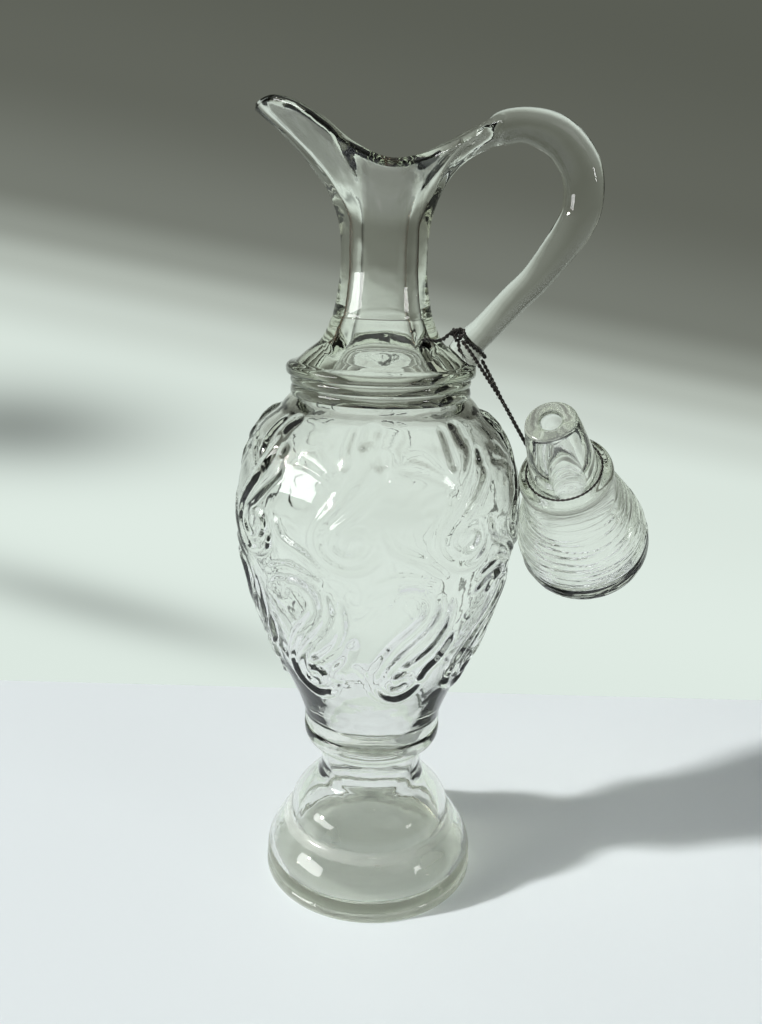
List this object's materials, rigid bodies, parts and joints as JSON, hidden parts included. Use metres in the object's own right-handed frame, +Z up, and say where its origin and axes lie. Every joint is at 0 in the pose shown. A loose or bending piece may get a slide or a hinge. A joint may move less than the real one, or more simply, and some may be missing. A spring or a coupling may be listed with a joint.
{
  "type": "carafe with hanging stopper",
  "caption": "Footed clear glass carafe with a long pouring lip, a loop handle, scrolls in relief and a hollow stopper hung on a waxed string.",
  "frame": {"origin": "centre of the foot's flat underside, at the middle of the mount base", "axes": "+Z up along the vessel's axis, +X towards the handle, -X towards the spout"},
  "size_m": [0.1476, 0.1, 0.2754],
  "materials": {
    "clear_glass": "polished",
    "waxed_twine": "matte"
  },
  "bodies": {
    "root": {"foot": "clear_glass", "knop_ring": "clear_glass", "bowl": "clear_glass", "shoulder_band": "clear_glass", "neck": "clear_glass", "handle": "clear_glass", "string_knot": "waxed_twine", "string_loop": "waxed_twine", "string_tail_left": "waxed_twine", "string_tail_down": "waxed_twine", "string_lead": "waxed_twine"},
    "string_upper": {"string_front_upper": "waxed_twine", "string_back_upper": "waxed_twine"},
    "string_lower": {"string_front_lower": "waxed_twine", "string_back_lower": "waxed_twine", "string_noose": "waxed_twine"},
    "stopper": {"stopper_plug": "clear_glass", "stopper_flange": "clear_glass", "stopper_head": "clear_glass"}
  },
  "joints": [
    {"name": "stopper_swing_out", "type": "hinge", "parent": "root", "child": "string_upper", "pos_m": [0.0344, -0.005, 0.1965], "axis": [0, -1, 0], "range_deg": [0, 60]},
    {"name": "stopper_swing_side", "type": "hinge", "parent": "string_upper", "child": "string_lower", "pos_m": [0.0413, -0.0081, 0.1827], "axis": [1, 0, 0], "range_deg": [-20, 3]},
    {"name": "stopper_spin", "type": "hinge", "parent": "string_lower", "child": "stopper", "pos_m": [0.06056, -0.02063, 0.16384], "axis": [0.3378, 0.5851, -0.7373], "continuous": true}
  ]
}
